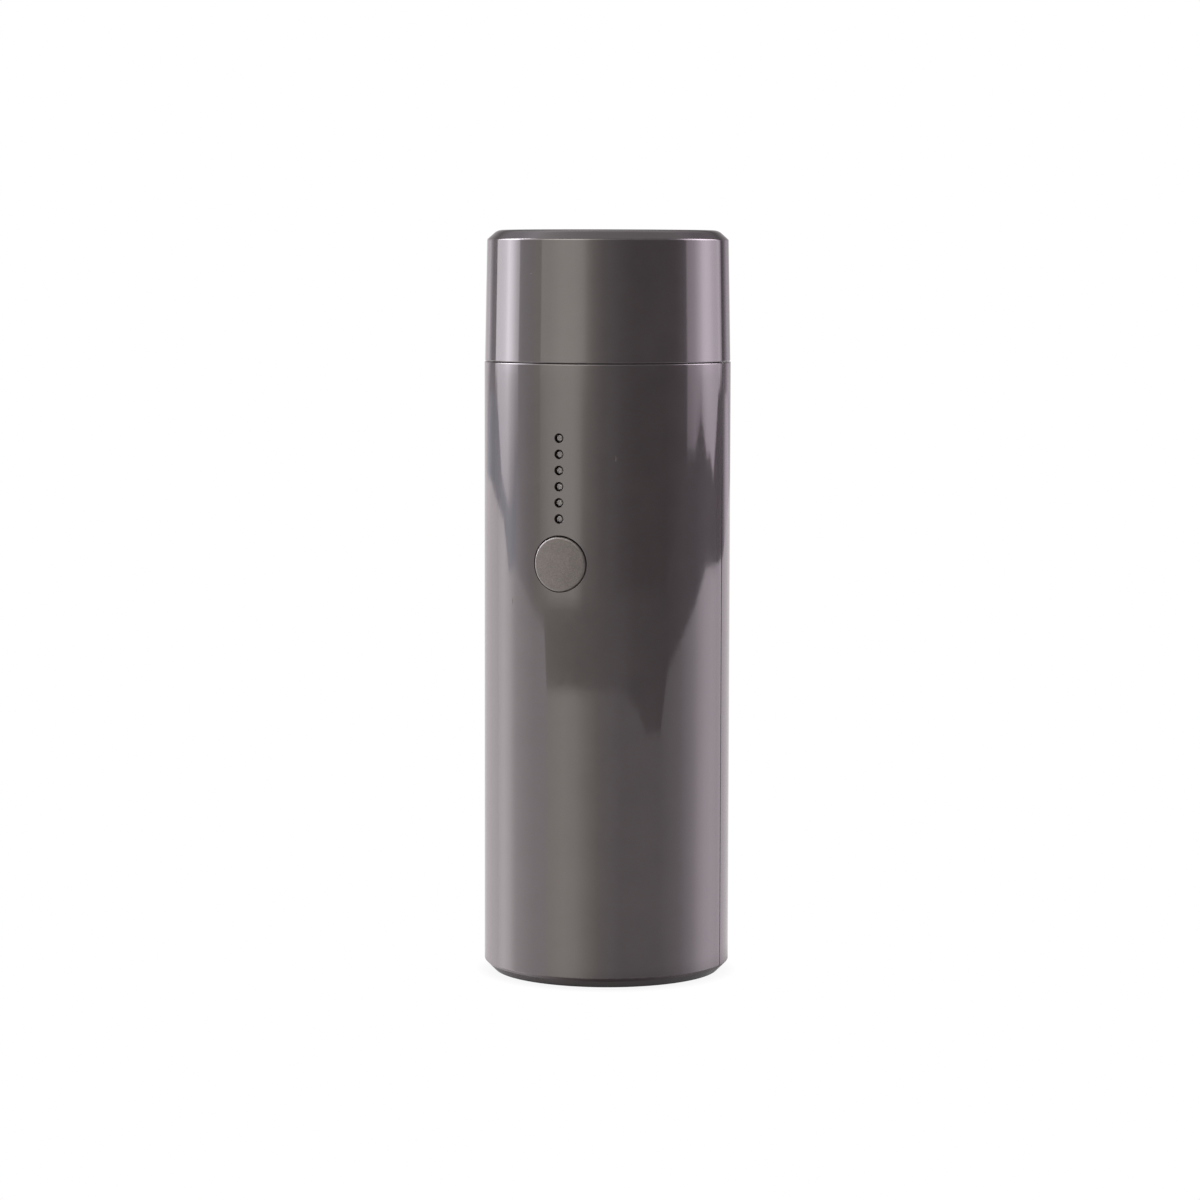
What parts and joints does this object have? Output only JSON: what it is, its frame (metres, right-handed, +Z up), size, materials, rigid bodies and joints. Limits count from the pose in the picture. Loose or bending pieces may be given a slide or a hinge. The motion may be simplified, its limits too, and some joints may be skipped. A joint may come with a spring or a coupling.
{
  "type": "electric air mattress pump",
  "caption": "Slim upright rechargeable air pump that inflates mattresses through a stepped nozzle under its pull-off cap.",
  "frame": {"origin": "centre of the flat base ring, on the floor", "axes": "+Z up the pump's axis to the cap; -Y out of the front, where the button and the row of lights are; +X to the right as seen from the front"},
  "size_m": [0.05, 0.0502, 0.151],
  "materials": {
    "case_plastic": "gloss",
    "button_plastic": "matte",
    "light_pipe": "satin",
    "inner_plastic": "satin",
    "white_plastic": "satin",
    "soft_rubber": "matte",
    "filter_foam": "matte",
    "circuit_board": "satin",
    "chip_resin": "satin",
    "led_lens": "gloss",
    "cell_wrap": "satin",
    "nickel": "satin",
    "zinc_steel": "satin",
    "dark_steel": "satin",
    "ferrite": "matte",
    "core_steel": "satin",
    "copper": "satin",
    "bronze": "satin",
    "carbon": "matte",
    "wire_red": "satin",
    "wire_black": "satin"
  },
  "bodies": {
    "housing": {"front_shell": "case_plastic", "rear_shell": "case_plastic", "light_pipe": "light_pipe", "intake_grille": "inner_plastic", "outlet_housing": "inner_plastic", "fan_base": "inner_plastic", "motor_end_bell": "inner_plastic", "battery_tray": "inner_plastic", "nozzle_sleeve": "soft_rubber", "cap_seal": "soft_rubber", "dust_filter": "filter_foam", "control_board": "circuit_board", "usb_board": "circuit_board", "mcu_chip": "chip_resin", "motor_driver_chip": "chip_resin", "switch_housing": "chip_resin", "usb_tongue": "chip_resin", "indicator_led_1": "led_lens", "indicator_led_2": "led_lens", "indicator_led_3": "led_lens", "indicator_led_4": "led_lens", "indicator_led_5": "led_lens", "indicator_led_6": "led_lens", "battery_cell_left": "cell_wrap", "battery_cell_right": "cell_wrap", "cell_link_strip": "nickel", "cell_strip_positive": "nickel", "cell_strip_negative": "nickel", "usb_receptacle": "nickel", "motor_can": "zinc_steel", "motor_screw_left": "zinc_steel", "motor_screw_right": "zinc_steel", "board_screw_low": "zinc_steel", "board_screw_high": "zinc_steel", "case_screw_1": "dark_steel", "case_screw_2": "dark_steel", "case_screw_3": "dark_steel", "case_screw_4": "dark_steel", "magnet_left": "ferrite", "magnet_right": "ferrite", "motor_terminal_left": "copper", "motor_terminal_right": "copper", "front_bushing": "bronze", "rear_bushing": "bronze", "brush_left": "carbon", "brush_right": "carbon", "cell_wire_positive": "wire_red", "motor_wire_positive": "wire_red", "cell_wire_negative": "wire_black", "motor_wire_negative": "wire_black", "charging_cable": "wire_black"},
    "cap": {"cap": "case_plastic"},
    "rotor": {"motor_shaft": "core_steel", "armature": "core_steel", "commutator": "copper", "impeller": "white_plastic"},
    "button": {"power_button": "button_plastic"},
    "plunger": {"switch_plunger": "white_plastic"},
    "port_flap": {"port_cover": "soft_rubber"}
  },
  "joints": [
    {"name": "cap_lift", "type": "slide", "parent": "housing", "child": "cap", "axis": [0, 0, 1], "range_m": [0, 0.035]},
    {"name": "fan_spin", "type": "hinge", "parent": "housing", "child": "rotor", "pos_m": [0, 0, 0.1], "axis": [0, 0, 1], "continuous": true},
    {"name": "button_press", "type": "slide", "parent": "housing", "child": "button", "axis": [0, 1, 0], "range_m": [0, 0.0006], "stiffness_N_per_m": 40},
    {"name": "plunger_press", "type": "slide", "parent": "housing", "child": "plunger", "axis": [0, 1, 0], "range_m": [0, 0.0006]},
    {"name": "port_cover_swing", "type": "hinge", "parent": "housing", "child": "port_flap", "pos_m": [0, 0.02465, 0.0301], "axis": [1, 0, 0], "range_deg": [0, 120]}
  ],
  "couplings": [
    {"joint": "plunger_press", "follows": "button_press", "ratio": 1}
  ]
}
